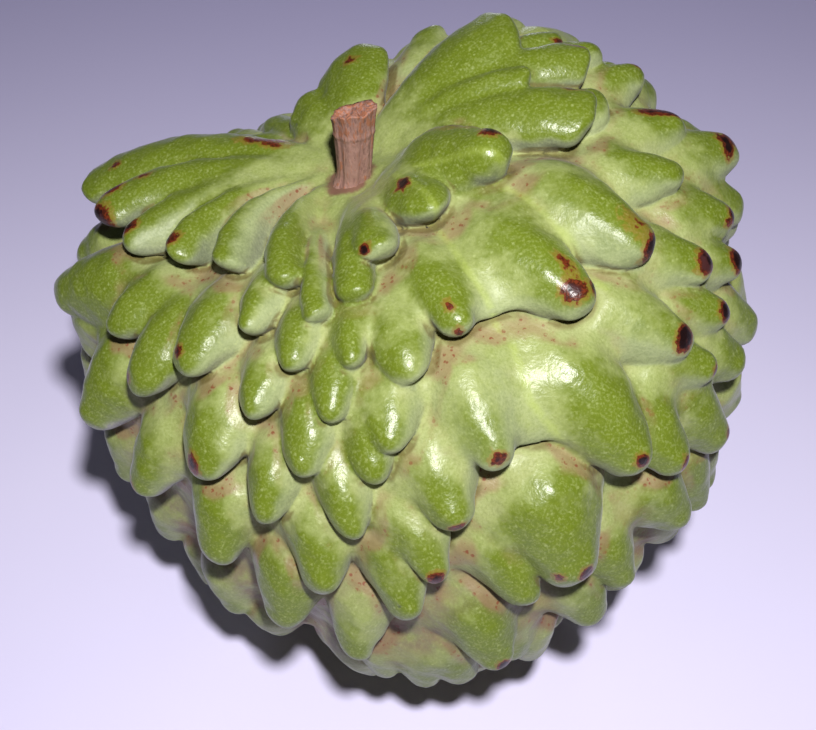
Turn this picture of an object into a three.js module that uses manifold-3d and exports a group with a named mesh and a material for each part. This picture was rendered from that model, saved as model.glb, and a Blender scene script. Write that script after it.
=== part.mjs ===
// Atemoya: a lopsided heart-shaped fruit grown over with soft scales, and the woody stub of its stalk.
// Millimetres, +Z up. It rests on a small flat spot at z = 0, and the stalk leans a little to -X.
import * as THREE from "three";
import { mergeVertices } from "three/addons/utils/BufferGeometryUtils.js";
import Module from "manifold-3d";

const wasm = await Module();
wasm.setup();

// ---- Driving dimensions ----
const CENTRE_HEIGHT = 48; // the point that every direction below is measured from
const STALK_LEAN = 11.5; // degrees, towards -X
const BODY_TILTS = [0, 12, 25, 40, 60, 80, 95, 110, 130, 150, 165, 180]; // degrees from the stalk axis
const BODY_RADII = [39, 39.5, 43, 47.5, 50, 50, 49.5, 48.5, 46.5, 47, 50, 50];
// Swellings and hollows of the body: tilt, turn, height, spread in degrees.
const SWELLINGS = [
  [70, 75, 3, 50],
  [45, 140, 5, 26],
  [45, -170, -4, 28],
  [45, -135, -5.5, 34],
  [90, -55, -3.5, 35],
  [60, -98, 4.5, 22],
  [70, 105, 3, 20],
  [114, 5, 3, 25],
];
const BODY_SIDES = 18;
const BODY_RINGS = 11;

const STALK_LENGTH = 14; // from the hollow of the fruit to the torn end
const STALK_IN_SOCKET = 3;
const STALK_NECK = 2.6; // half of its width at the socket
const STALK_END = 3.5; // half of its width at the torn end
const STALK_SIDES = 14;
const STALK_DRIFT = 0.04; // how far it leans to +X for each unit of height
const SOCKET_GAP = 0.3; // mm of air all round the stalk's foot

const MIDDLE_RADIUS = 50; // turns angles on the body into lengths of a scale
const HIDDEN_FIRST_ROW = 46; // degrees from the stalk axis to the tips of the first row
const HIDDEN_LAST_ROW = 176;
const HIDDEN_ROW_STEP = 13; // degrees between the rows at the back and below
const HIDDEN_LENGTH = 22; // degrees from root to tip
const HIDDEN_SPACING = 17;
const HIDDEN_WIDTH = 14;
const HIDDEN_LIFT = 4.2;
const HIDDEN_WANDER = 3; // degrees that a tip lies off the straight line down from its root
const SEEN_FACETS = [6, 4]; // sides and rings of the ball that a scale is drawn from
const HIDDEN_FACETS = [5, 3];
const GROUND_WIDTH = 300;
const GROUND_DEPTH = 60;

// ---- Scales set one by one ----
// Turn 0 is the front (-Y) and grows towards +X; tilt is measured from the stalk axis.
// Each row: turn and tilt of the root, turn and tilt of the tip, width, lift of the tip, sideways bow.
const LEFT_FINGERS = [
  [-170, 11, -148, 42, 8, 4, 0],
  [-166, 10, -126, 50, 8, 4.5, -3],
  [-160, 10, -108, 54, 9, 9.6, -3],
  [-146, 10, -92, 46.5, 8.6, 8, -3],
  [-128, 11, -78, 42.5, 8.5, 5.6, -3],
  [-122, 10, -63, 36, 6.5, 5, -4],
  [-115, 9, -42, 31, 6.5, 5, -4],
  [-80, 8, -18, 31, 6.5, 5, -2],
  [-25, 16, -6, 37, 5, 5, 0],
  [5, 9, 4, 34.5, 6.5, 5, 0],
];
const ROUND_ONES = [
  [18, 9, 14, 28.5, 7.6, 6.2, 0],
  [85, 8, 39, 26, 10, 6, 0],
  [112, 10, 67, 29.5, 14, 8.2, 0],
];
const FRONT_SCALES = [
  [-36, 22, -24, 39.5, 6, 5, 0],
  [-12, 26, -12, 44.5, 6.5, 5, 0],
  [3, 28, 1, 44.5, 5, 5, 0],
  [12, 26, 12.5, 48.5, 8.5, 5, 0],
  [-46, 26, -38, 49, 9.5, 5, 0],
  [-20, 36, -20, 52, 6.2, 5, 0],
  [-3, 34, -4, 52, 5.8, 5, 0],
  [9, 40, 5.5, 57.5, 7.8, 5, 0],
  [1, 42, 2, 62, 6.5, 4, 0],
  [-9, 40, -10, 60, 7.2, 5, 0],
  [-58, 36, -50, 57, 9, 5, 0],
  [-72, 36, -63, 52.5, 8.5, 5, 0],
  [-72, 40, -86, 61.5, 13, 6.4, 0],
  [-34, 43, -30, 64, 11, 5, 0],
  [-17, 50, -18, 68.5, 6.2, 5, 0],
  [-8, 50, -3, 70, 6, 5, 0],
  [10, 52, 13, 71, 9.3, 5, 0],
  [2, 60, 8, 79, 6.8, 5, 0],
  [-12, 62, -10, 80.5, 9, 5, 0],
  [0, 66, 2, 86, 8, 5, 0],
  [-32, 62, -30, 81, 10.5, 5, 0],
  [-48, 58, -49, 77, 7.8, 5, 0],
  [-68, 50, -65, 73, 10, 6, 0],
  [-18, 72, -20, 92, 11, 5, 0],
  [-5, 80, -9, 97, 7.5, 5, 0],
  [17, 72, 19.5, 89.5, 8.3, 5, 0],
  [10, 85, 13, 104.5, 9.5, 5.4, 0],
];
// Lobes of scales that have grown together into broad plates.
const PLATE_LOBES = [
  [33, 20, 25, 44.5, 8, 5, 0],
  [52, 22, 48, 52, 13, 5.8, 0],
  [24, 42, 21.5, 64, 9.5, 5, 0],
  [40, 46, 41.5, 76, 13, 6.2, 0],
  [28, 64, 27, 88.5, 16, 7, 0],
  [80, 26, 64, 54, 13, 6.6, 0],
  [42, 18, 36, 44, 16, 4, 0],
  [33, 40, 32, 63, 18, 4.5, 0],
  [66, 12, 58, 40, 16, 3.5, 0],
];
const RIGHT_SCALES = [
  [50, 44, 59, 68, 9.8, 5.4, 0],
  [63, 44, 73, 65, 8.6, 5.4, 0],
  [62, 58, 70.5, 72.5, 7.5, 5, 0],
  [74, 58, 81, 72.5, 7.5, 5, 0],
  [80, 52, 87, 68.5, 8.5, 5, 0],
  [92, 58, 95, 75, 8, 5, 0],
  [92, 52, 101, 69, 10, 7.5, 0],
  [96, 42, 100, 58.5, 9, 5, 0],
  [84, 38, 86, 56.5, 7.5, 5, 0],
  [135, 12, 92.5, 41.5, 10, 6, 0],
  [98, 28, 101, 46, 8.5, 4, 0],
  [152, 12, 111, 43.5, 7.5, 6.2, 0],
  [148, 12, 107, 33.5, 6, 5.8, 0],
  [160, 12, 121, 43.5, 6.5, 5.2, 0],
  [122, 34, 118, 49, 8, 5, 0],
  [112, 42, 113, 55, 8, 5, 0],
  [166, 12, 128, 36.5, 13, 7.2, 0],
  [180, 11, -179, 35, 13, 8.4, 0],
  [-168, 11, -160, 32, 9, 6.6, 0],
  [-156, 11, -153, 30, 6, 5, 0],
  [51, 62, 48, 82.5, 9, 5.6, 0],
  [58, 66, 60, 90, 9, 5, 0],
  [45, 80, 49, 97.5, 10, 5, 0],
  [58, 84, 58, 106, 8, 4.5, 0],
  [36, 82, 35.5, 100, 8, 5, 0],
  [28, 92, 30.5, 108, 10, 5, 0],
  [16, 95, 16, 112, 7, 3, 0],
  [3, 95, 6, 115, 9, 4, 0],
  [-1, 98, -1, 116, 8.5, 4, 0],
  [-7, 96, -8, 113, 7.5, 3, 0],
  [75, 68, 80, 86, 9, 5, 0],
  [64, 66, 70, 83, 9, 5, 0],
  [52, 62, 62, 75, 7.5, 5, 0],
];
// The hidden rows start behind this direction, which the rows above cover.
const COVERED_TILT = 42;
const COVERED_TURN = 12;
const COVERED_SPREAD = 78;

const degrees = THREE.MathUtils.radToDeg;
const radians = THREE.MathUtils.degToRad;

// ---- Directions ----
// The fruit's own axes: along the core to the stalk, to its front and to its right.
const centre = new THREE.Vector3(0, 0, CENTRE_HEIGHT);
const coreAxis = new THREE.Vector3(-Math.tan(radians(STALK_LEAN)), 0, 1).normalize();
const frontAxis = new THREE.Vector3(0, -1, 0);
const rightAxis = new THREE.Vector3().crossVectors(coreAxis, frontAxis);

function direction(turn, tilt) {
  const t = radians(tilt);
  const p = radians(turn);
  return new THREE.Vector3()
    .addScaledVector(frontAxis, Math.sin(t) * Math.cos(p))
    .addScaledVector(rightAxis, Math.sin(t) * Math.sin(p))
    .addScaledVector(coreAxis, Math.cos(t));
}

// A smooth curve through points given as two lists.
function curveThrough(xs, ys, x) {
  const last = xs.length - 2;
  let i = 0;
  while (i < last && x > xs[i + 1]) i += 1;
  const slope = (j) => {
    const a = Math.max(j - 1, 0);
    const b = Math.min(j + 1, xs.length - 1);
    return (ys[b] - ys[a]) / (xs[b] - xs[a]);
  };
  const width = xs[i + 1] - xs[i];
  const t = THREE.MathUtils.clamp((x - xs[i]) / width, 0, 1);
  return (
    (2 * t ** 3 - 3 * t ** 2 + 1) * ys[i] +
    (t ** 3 - 2 * t ** 2 + t) * width * slope(i) +
    (-2 * t ** 3 + 3 * t ** 2) * ys[i + 1] +
    (t ** 3 - t ** 2) * width * slope(i + 1)
  );
}

function bodyRadius(unit) {
  let radius = curveThrough(BODY_TILTS, BODY_RADII, degrees(unit.angleTo(coreAxis)));
  for (const [tilt, turn, height, spread] of SWELLINGS) {
    const away = degrees(unit.angleTo(direction(turn, tilt)));
    radius += height * Math.exp(-((away / spread) ** 2));
  }
  return radius;
}

// A point at a height above the body.
function onBody(unit, height) {
  return centre.clone().addScaledVector(unit, bodyRadius(unit) + height);
}

// ---- Solids ----
// A closed shape whose faces share their corners, with each corner moved by a rule.
function shaped(geometry, move) {
  geometry.deleteAttribute("normal");
  geometry.deleteAttribute("uv");
  const merged = mergeVertices(geometry, 1e-5);
  const position = merged.attributes.position;
  for (let i = 0; i < position.count; i += 1) {
    const corner = new THREE.Vector3().fromBufferAttribute(position, i);
    position.setXYZ(i, ...move(corner).toArray());
  }
  return merged;
}

function solid(geometry) {
  return new wasm.Manifold(
    new wasm.Mesh({
      numProp: 3,
      vertProperties: new Float32Array(geometry.attributes.position.array),
      triVerts: new Uint32Array(geometry.index.array),
    }),
  );
}

function bodySolid() {
  const ball = new THREE.SphereGeometry(1, BODY_SIDES, BODY_RINGS);
  return solid(shaped(ball, (corner) => onBody(corner.normalize(), 0)));
}

// One scale: a ball drawn out into a flat tongue that leaves the body at its root (height -1 of
// the ball) and stands off it at its tip (height 1). Shares are of the length, width and lift.
const BALL_HEIGHTS = [-1, -0.7, 0, 0.7, 1];
const LENGTH_SHARES = [0, 0.22, 0.64, 0.91, 1];
const WIDTH_SHARES = [0.5, 0.7, 1, 0.64, 0.4];
const TOP_SHARES = [0, 0.25, 1, 0.92, 0.45];
const UNDER_SHARES = [-0.3, -0.6, -0.3, 0.1, 0.45];

function scaleSolid([rootTurn, rootTilt, tipTurn, tipTilt, width, lift, bow], facets) {
  const root = direction(rootTurn, rootTilt);
  const tip = direction(tipTurn, tipTilt);
  const side = new THREE.Vector3().crossVectors(tip, root).normalize();
  const along = new THREE.Vector3().crossVectors(root, side);
  const length = root.angleTo(tip);
  const place = (corner) => {
    const share = (shares) => curveThrough(BALL_HEIGHTS, shares, corner.y);
    const round = Math.max(Math.hypot(corner.x, corner.z), 0.01);
    const s = share(LENGTH_SHARES);
    const across = (corner.x / round) * share(WIDTH_SHARES) * (width / 2);
    const up = 0.5 + (0.5 * corner.z) / round;
    const lean = (across - bow * 4 * s * (1 - s)) / MIDDLE_RADIUS;
    const unit = new THREE.Vector3()
      .addScaledVector(root, Math.cos(length * s) * Math.cos(lean))
      .addScaledVector(along, Math.sin(length * s) * Math.cos(lean))
      .addScaledVector(side, Math.sin(lean));
    return onBody(unit, lift * THREE.MathUtils.lerp(share(UNDER_SHARES), share(TOP_SHARES), up));
  };
  return solid(shaped(new THREE.SphereGeometry(1, ...facets), place));
}

// Rows of scales that ring the back and the underside, each row set half a step off the one before.
function hiddenScales() {
  const rows = [];
  const covered = direction(COVERED_TURN, COVERED_TILT);
  let odd = 0;
  for (let tilt = HIDDEN_FIRST_ROW; tilt < HIDDEN_LAST_ROW; tilt += HIDDEN_ROW_STEP) {
    const around = 2 * Math.PI * MIDDLE_RADIUS * Math.sin(radians(tilt));
    const count = Math.max(4, Math.round(around / HIDDEN_SPACING));
    for (let j = 0; j < count; j += 1) {
      const turn = (360 * (j + odd / 2)) / count;
      if (degrees(direction(turn, tilt).angleTo(covered)) < COVERED_SPREAD) continue;
      const tipTurn = turn + HIDDEN_WANDER * Math.sin(5 * turn);
      rows.push([turn, tilt - HIDDEN_LENGTH, tipTurn, tilt, HIDDEN_WIDTH, HIDDEN_LIFT, 0]);
    }
    odd = 1 - odd;
  }
  return rows;
}

// The stalk's profile, from the foot in the socket to the torn end: half width, height above the hollow.
const stalkFoot = onBody(coreAxis, 0);
const STALK_PROFILE = [
  [0, -STALK_IN_SOCKET],
  [STALK_NECK, -STALK_IN_SOCKET],
  [STALK_NECK, 0],
  [1.06 * STALK_NECK, 0.35 * STALK_LENGTH],
  [1.18 * STALK_NECK, 0.6 * STALK_LENGTH],
  [1.32 * STALK_NECK, 0.66 * STALK_LENGTH],
  [0.96 * STALK_END, 0.88 * STALK_LENGTH],
  [STALK_END, STALK_LENGTH],
  [0.7 * STALK_END, STALK_LENGTH - 0.5],
  [0, STALK_LENGTH - 0.9],
];

// Ribbed all round, and torn higher on one side of the end.
function stalkSolid() {
  const profile = STALK_PROFILE.map(([radius, height]) => new THREE.Vector2(radius, height));
  const place = (corner) => {
    const turn = Math.atan2(corner.z, corner.x);
    const rib = 1 + 0.04 * Math.cos(3 * turn + 1);
    const torn = Math.max(0, corner.y / STALK_LENGTH - 0.8) * 3 * Math.cos(turn + 0.6);
    const reach = Math.hypot(corner.x, corner.z) / STALK_END;
    const lean = STALK_DRIFT * Math.max(0, corner.y);
    return stalkFoot
      .clone()
      .add(new THREE.Vector3(corner.x * rib + lean, -corner.z * rib, corner.y + torn * reach));
  };
  return solid(shaped(new THREE.LatheGeometry(profile, STALK_SIDES), place));
}

// The room that the stalk's foot needs in the fruit, with the gap all round.
function socketSolid() {
  const radius = 1.05 * STALK_NECK + SOCKET_GAP;
  const depth = STALK_IN_SOCKET + SOCKET_GAP;
  const room = new THREE.CylinderGeometry(radius, radius, 2 * depth, STALK_SIDES);
  room.rotateX(Math.PI / 2);
  return solid(shaped(room, (corner) => corner.add(stalkFoot)));
}

// Everything below the surface that the fruit rests on.
function groundSolid() {
  const block = new THREE.BoxGeometry(GROUND_WIDTH, GROUND_WIDTH, GROUND_DEPTH);
  return solid(shaped(block, (corner) => corner.setZ(corner.z - GROUND_DEPTH / 2)));
}

function fruitSolid() {
  const seen = [...LEFT_FINGERS, ...ROUND_ONES, ...FRONT_SCALES, ...PLATE_LOBES, ...RIGHT_SCALES];
  let fruit = bodySolid();
  for (const row of seen) fruit = fruit.add(scaleSolid(row, SEEN_FACETS));
  for (const row of hiddenScales()) fruit = fruit.add(scaleSolid(row, HIDDEN_FACETS));
  return fruit.subtract(socketSolid()).subtract(groundSolid());
}

// ---- Meshes ----
// Groups the corners that hang together: a pocket shut in between scales is a group of its own.
function groupsOf(index, cornerCount) {
  const parent = Array.from({ length: cornerCount }, (_, i) => i);
  const find = (i) => {
    while (parent[i] !== i) {
      parent[i] = parent[parent[i]];
      i = parent[i];
    }
    return i;
  };
  for (let i = 0; i < index.length; i += 3) {
    parent[find(index[i])] = find(index[i + 1]);
    parent[find(index[i])] = find(index[i + 2]);
  }
  return parent.map((_, i) => find(i));
}

// The outer skin alone, without the shut pockets: the largest group of corners.
function outerSkin(made) {
  const mesh = made.getMesh();
  const groups = groupsOf(mesh.triVerts, mesh.numVert);
  const sizes = new Map();
  groups.forEach((group) => sizes.set(group, (sizes.get(group) ?? 0) + 1));
  const [largest] = [...sizes].sort((a, b) => b[1] - a[1])[0];
  const geometry = new THREE.BufferGeometry();
  geometry.setAttribute("position", new THREE.BufferAttribute(mesh.vertProperties, mesh.numProp));
  geometry.setIndex([...mesh.triVerts].filter((_, i, all) => groups[all[i - (i % 3)]] === largest));
  return geometry;
}

function namedMesh(name, geometry, colour, roughness) {
  const part = new THREE.Mesh(geometry, new THREE.MeshStandardMaterial({ color: colour, roughness }));
  part.name = name;
  return part;
}

const part = new THREE.Group();
part.add(namedMesh("fruit", outerSkin(fruitSolid()), 0x9bb04a, 0.4));
part.add(namedMesh("stalk", outerSkin(stalkSolid()), 0xa5695c, 0.85));
export default part;
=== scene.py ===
"""An atemoya on a sheet of pale paper: the looks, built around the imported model.

The skin is one closed surface, drawn from a distance field: a lopsided body, and on it soft scales,
each a tongue that leaves the body at its root and ends in a round tip that stands off it.
Lengths in the tables are millimetres of a fruit FRUIT_HEIGHT tall, and MM turns them into metres.
"""

import math

import bpy
import numpy as np
import openvdb
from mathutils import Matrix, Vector


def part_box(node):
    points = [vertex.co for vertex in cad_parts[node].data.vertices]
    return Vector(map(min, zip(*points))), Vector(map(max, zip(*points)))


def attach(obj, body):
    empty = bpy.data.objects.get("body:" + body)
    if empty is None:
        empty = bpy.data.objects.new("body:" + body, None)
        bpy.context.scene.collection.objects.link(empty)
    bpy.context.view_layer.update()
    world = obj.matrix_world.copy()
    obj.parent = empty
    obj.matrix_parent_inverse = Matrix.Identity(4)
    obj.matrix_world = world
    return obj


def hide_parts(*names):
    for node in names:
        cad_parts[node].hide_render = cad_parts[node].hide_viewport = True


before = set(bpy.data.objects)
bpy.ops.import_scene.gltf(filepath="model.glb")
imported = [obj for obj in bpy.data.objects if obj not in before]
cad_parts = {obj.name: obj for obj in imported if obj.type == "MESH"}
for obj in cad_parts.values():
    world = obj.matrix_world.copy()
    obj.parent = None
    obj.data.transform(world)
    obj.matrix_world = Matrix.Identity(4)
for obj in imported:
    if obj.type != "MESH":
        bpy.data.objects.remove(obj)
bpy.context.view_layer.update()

# ---- Driving dimensions ----
FRUIT_HEIGHT = 98.7
CENTRE_HEIGHT = 48.0  # the point that every direction below is measured from
STALK_LEAN = 11.5  # degrees, towards -X
BODY_TILTS = [0, 12, 25, 40, 60, 80, 95, 110, 130, 150, 165, 180]  # degrees from the stalk axis
BODY_RADII = [39.5, 39.4, 41.6, 45.4, 47.8, 47.8, 47.3, 46.4, 44.5, 45.2, 48, 48]
# Swellings and hollows of the body: tilt, turn, height, spread in degrees.
SWELLINGS = [
    (70, 75, 3, 50),
    (45, 140, 5, 26),
    (45, -170, -4, 28),
    (45, -135, -5.5, 34),
    (90, -55, -3.5, 35),
    (60, -98, 4.5, 22),
    (70, 105, 3, 20),
    (114, 5, 3, 25),
]
LEE = np.array([0.65, -0.6, -0.45])  # the flanks that face this way keep their bloom
MIDDLE_RADIUS = 50.0  # turns angles on the body into lengths of a scale
EXTRA_LIFT = 2.1  # added to every lift in the tables, because the body is that much smaller
VOXEL = 0.5  # between the points of the distance field
GRID_MARGIN = 4.0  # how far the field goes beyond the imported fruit
SHELL = 18.0  # how far from MIDDLE_RADIUS the skin can lie
FAR = 9.0  # the height and distance of what is farther off than the skin's neighbourhood
BAND = 3.0  # distances are cut off at this before the skin is drawn
TIP_BLEND = 0.4  # how softly the sides and the tip of a scale meet what is below them
RIPPLE = 0.22  # depth of the slow unevenness
CREASED = (0.3, 0.85)  # the shares of a scale's length over which a crease forms at its sides
GROWN_TOGETHER = 2.6  # the fillet between the lobes of one plate
ROOT_THICKNESS = 4.2
RIDGE_RADIUS = 1.8  # how round the ridge of a scale is
MERGE_WIDTH = 0.6  # over this distance the colouring of one scale passes into the next
MARGIN = 3.5  # how far round a scale its distance is worked out
OWN_REACH = 6.0  # skin farther than this from every scale belongs to none
OPENNESS = {"open_near": 1.2, "open_far": 3.0}  # how far out from the skin creases and valleys are felt
THINNING = (0.45, 1)  # the shares of a tongue's length over which it thins out
SLAB = 16  # layers of the grid worked out at a time
TRIANGLES = 190000  # of the skin, at most

LOW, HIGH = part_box("fruit")
MM = (HIGH.z - LOW.z) / FRUIT_HEIGHT
STALK_LOW, STALK_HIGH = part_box("stalk")

# ---- Scales set one by one ----
# Turn 0 is the front (-Y) and grows towards +X; tilt is measured from the stalk axis.
# Each row: turn and tilt of the root, turn and tilt of the tip, width, lift of the tip, and the sideways
# bow if there is one.
FINGERS = {
    "A2": (-170, 11, -148, 42, 8, 4),
    "A1": (-166, 10, -126, 50, 8, 4.5, -3),
    "A": (-160, 10, -108, 54, 12, 9.6, -3),
    "B": (-146, 10, -92, 46.5, 8.6, 8, -3),
    "D": (-122, 10, -63, 36, 6.5, 5, -4),
    "E": (-115, 9, -42, 31, 6.5, 5, -4),
    "F": (-80, 8, -18, 31, 6.5, 5, -2),
    "G": (-25, 16, -6, 37, 5, 5),
    "H": (5, 9, 4, 34.5, 6.5, 5),
    "J": (18, 9, 14, 28.5, 7.6, 6.2),
    "X": (135, 12, 92.5, 41.5, 10, 6),
    "Y": (98, 28, 101, 46, 8.5, 4),
    "Z": (152, 12, 111, 43.5, 7.5, 6.2),
    "AA": (148, 12, 107, 33.5, 6, 5.8),
    "AB": (160, 12, 121, 43.5, 6.5, 5.2),
    "AE": (166, 12, 128, 36.5, 14, 7.4),
    "AG": (180, 11, -179, 35, 14, 9),
    "AH": (-168, 11, -160, 32, 9, 6.8),
    "AI": (-156, 11, -153, 30, 6, 5),
}
SQUARE_ENDED = ("A", "X", "Z", "AE")  # fingers with a blunter end
DROPS = {
    "F1": (-36, 22, -24, 39.5, 6, 5),
    "F2": (-12, 26, -12, 44.5, 6.5, 5),
    "F3": (3, 28, 1, 44.5, 5, 5),
    "F4": (12, 26, 12.5, 48.5, 8.5, 5),
    "F5": (-46, 26, -38, 49, 9.5, 5),
    "F6": (-20, 36, -20, 52, 6.2, 5),
    "F7": (-3, 34, -4, 52, 5.8, 5),
    "F8": (9, 40, 5.5, 57.5, 7.8, 5),
    "F9": (1, 42, 2, 62, 6.5, 4),
    "F10": (-9, 40, -10, 60, 7.2, 5),
    "F11": (-58, 36, -50, 57, 9, 5),
    "F12": (-72, 36, -63, 52.5, 8.5, 5),
    "F14": (-34, 43, -30, 64, 11, 5),
    "F15": (-17, 50, -18, 68.5, 6.2, 5),
    "F16": (-8, 50, -3, 70, 6, 5),
}
NOSES = {
    "F17": (10, 52, 13, 71, 9.3, 5),
    "F18": (2, 60, 8, 79, 6.8, 5),
    "F19": (-12, 62, -10, 80.5, 9, 5),
    "F20": (0, 66, 2, 86, 8, 5),
    "F21": (-32, 62, -30, 81, 10.5, 5),
    "F22": (-48, 58, -49, 77, 7.8, 5),
    "F23": (-68, 50, -65, 73, 10, 6),
    "F24": (-18, 72, -20, 92, 11, 5),
    "F25": (-5, 80, -9, 97, 7.5, 5),
    "F26": (17, 72, 19.5, 89.5, 8.3, 5),
    "F27": (10, 85, 13, 104.5, 9.5, 5.4),
    "P": (50, 44, 59, 68, 9.8, 5.4),
    "Q": (63, 44, 73, 65, 8.6, 5.4),
    "R": (62, 58, 70.5, 72.5, 7.5, 5),
    "S": (74, 58, 81, 72.5, 7.5, 5),
    "T": (80, 52, 87, 68.5, 8.5, 5),
    "T1": (92, 58, 95, 75, 8, 5),
    "U": (92, 52, 101, 69, 10, 7.5),
    "V": (96, 42, 100, 58.5, 9, 5),
    "W": (84, 38, 86, 56.5, 7.5, 5),
    "AC": (122, 34, 118, 49, 8, 5),
    "AD": (112, 42, 113, 55, 8, 5),
    "R1": (51, 62, 48, 82.5, 9, 5.6),
    "R2": (58, 66, 60, 90, 9, 5),
    "R3": (45, 80, 49, 97.5, 10, 5),
    "R4": (58, 84, 58, 106, 8, 4.5),
    "R5": (36, 82, 35.5, 100, 8, 5),
    "R6": (28, 92, 30.5, 108, 10, 5),
    "R7": (16, 95, 16, 112, 7, 3),
    "R8": (3, 95, 6, 115, 9, 4),
    "R9": (-1, 98, -1, 116, 8.5, 4),
    "R10": (-7, 96, -8, 113, 7.5, 3),
    "R11": (75, 68, 80, 86, 9, 5),
    "R12": (64, 66, 70, 83, 9, 5),
    "R13": (52, 62, 62, 75, 7.5, 5),
}
# Scars by scale: share of the scale's length, share of its half width, half length, half width, depth.
# A depth of 1 is burnt black, 0.6 is red-brown and 0.25 is only a brown stain.
SCARS = {
    "A": [(0.84, -0.5, 1, 0.8, 0.7), (0.3, 0.3, 4.5, 1.2, 0.5), (0.2, 0, 2.2, 0.9, 0.45)],
    "B": [(0.97, -0.3, 2.6, 2.4, 1), (0.9, 0.2, 2.2, 1.6, 0.7), (0.76, 0, 1.6, 0.9, 0.5)],
    "C": [(0.92, 0.2, 1.9, 1.7, 0.78)],
    "D": [(0.91, 0.25, 1.5, 1.4, 0.68)],
    "J": [(0.9, 0.45, 0.9, 0.8, 1)],
    "I": [(0.5, 0.5, 1.5, 0.9, 1)],
    "K": [(0.74, -0.4, 1.5, 1.2, 1), (0.8, -0.1, 1.4, 1, 0.6), (0.35, -0.6, 7, 1.8, 0.35)],
    "L": [(0.965, -0.1, 2, 2.4, 1), (0.84, -0.1, 3.4, 2.4, 0.3)],
    "M1": [(0.84, 0.1, 0.9, 0.7, 0.6), (0.97, 0.1, 1, 0.7, 0.6)],
    "M2": [(0.87, 0.1, 1.9, 2.1, 0.7), (0.76, -0.2, 2.4, 0.9, 0.5), (0.93, -0.4, 1.3, 1, 0.9)],
    "N1": [(0.92, 0, 1.2, 1.4, 0.62)],
    "N2": [(0.89, 0.05, 1.1, 1, 0.95)],
    "O": [(0.83, -0.05, 1.2, 1.2, 1), (0.82, 0.4, 0.9, 0.8, 0.65)],
    "P": [(0.88, 0, 1.6, 2.2, 1)],
    "Q": [(0.88, 0, 1.6, 2, 1)],
    "R": [(0.87, -0.1, 1.6, 1.6, 1)],
    "S": [(0.87, 0, 1.9, 2, 1)],
    "T": [(0.92, 0, 1.5, 1.4, 0.85), (0.84, 0.4, 1, 0.8, 0.6)],
    "U": [(0.72, 0.1, 1.1, 2.8, 0.8), (0.82, -0.2, 0.9, 1.6, 0.7)],
    "V": [(0.84, -0.2, 3, 1.3, 1), (0.6, -0.3, 2.8, 1, 0.7)],
    "X": [(0.86, -0.7, 1.6, 0.9, 0.7), (0.96, -0.65, 1.2, 0.9, 0.8)],
    "Z": [(0.93, -0.3, 1.1, 1, 0.9)],
    "AB": [(0.95, 0.3, 0.9, 0.8, 0.9)],
    "AD": [(0.92, -0.3, 1.7, 1.3, 1)],
    "AG": [(0.7, 0, 0.9, 1.6, 0.5)],
    "F5": [(0.84, 0.15, 1.1, 1.1, 0.65)],
    "F6": [(0.98, 0.3, 0.8, 0.8, 0.5)],
    "F11": [(0.88, 0.35, 1.1, 1, 0.65)],
    "F14": [(0.87, 0.1, 1.7, 1.3, 0.75)],
    "F15": [(1, 0.1, 0.8, 0.8, 0.5)],
    "F17": [(0.94, 0.1, 0.8, 1.4, 0.65)],
    "F18": [(0.92, 0, 1.2, 1.4, 0.7)],
    "F21": [(0.9, 0.3, 1.1, 1.4, 0.6)],
    "F22": [(0.89, 0.3, 1.5, 1.2, 0.6)],
    "F27": [(0.84, -0.1, 1.1, 1.1, 1)],
    "R1": [(0.9, 0, 1.4, 1, 0.75)],
    "R2": [(0.89, -0.2, 1.1, 1.1, 0.7)],
    "R4": [(0.98, 0, 1.2, 1, 0.5)],
    "R13": [(0.93, 0, 1, 1.1, 0.9)],
}
# Fine seams, each through directions given as turn and tilt.
SEAMS = [
    [(50, 13), (40, 26), (35, 36), (34, 47)],
    [(60, 16), (66, 30), (58, 44), (55, 52)],
    [(34, 50), (31, 58), (33, 67)],
]
# The unseen scales follow a spiral, as leaves do. It skips what lies within COVERED_SPREAD degrees of
# this direction, where the tables place the scales.
COVERED_TILT = 42
COVERED_TURN = 12
COVERED_SPREAD = 76
GOLDEN_ANGLE = 137.508
SPIRAL_SCALES = 210
SPIRAL_FIRST_TILT = 34
SPIRAL_LAST_TILT = 176
SPIRAL_LENGTH = 17.0  # degrees from root to tip
SPIRAL_WIDTH = 11.5
SPIRAL_LIFT = 4.2
SPIRAL_FLAT = (57, 78)  # these lie tucked under their neighbours
# Scales whose bloom is rubbed off, and scales that keep most of it and are painted paler still, partly as
# a painted highlight where the light falls broadly on them. The tint of the rest only varies.
DEEP_GREEN = "A A2 B D F H X K Z AA AB AE AG AH F11 F12 F13 F19 F21 F22 F23 F24 F27 O".split()
DEEP_GREEN += "R1 R2 R3 R4 R5 R6 R8 R9".split()
PALE_BLOOM_AND_HIGHLIGHT = ("M", "N1", "N", "L")
PALISH_BLOOM_AND_HIGHLIGHT = ("P", "Q", "U")
TINTS = (0.3, 0.7)
TINT_SHIFTS = ((0.5, DEEP_GREEN), (-0.5, PALE_BLOOM_AND_HIGHLIGHT), (-0.25, PALISH_BLOOM_AND_HIGHLIGHT))

rng = np.random.default_rng(7)


# ---- Directions ----
def unit_vector(values):
    values = np.asarray(values, float)
    return values / np.linalg.norm(values)


CENTRE = np.array([0.0, 0.0, CENTRE_HEIGHT])
CORE = unit_vector([-math.tan(math.radians(STALK_LEAN)), 0, 1])
FRONT = np.array([0.0, -1.0, 0.0])
RIGHT = np.cross(CORE, FRONT)


def direction(turn, tilt):
    """The unit vector at a turn and a tilt, in degrees."""
    t = math.radians(tilt)
    p = math.radians(turn)
    return FRONT * math.sin(t) * math.cos(p) + RIGHT * math.sin(t) * math.sin(p) + CORE * math.cos(t)


def angle_between(units, axis):
    """Degrees between each of the units, an array (..., 3), and one axis."""
    return np.degrees(np.arccos(np.clip(units @ axis.astype(units.dtype), -1, 1)))


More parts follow.
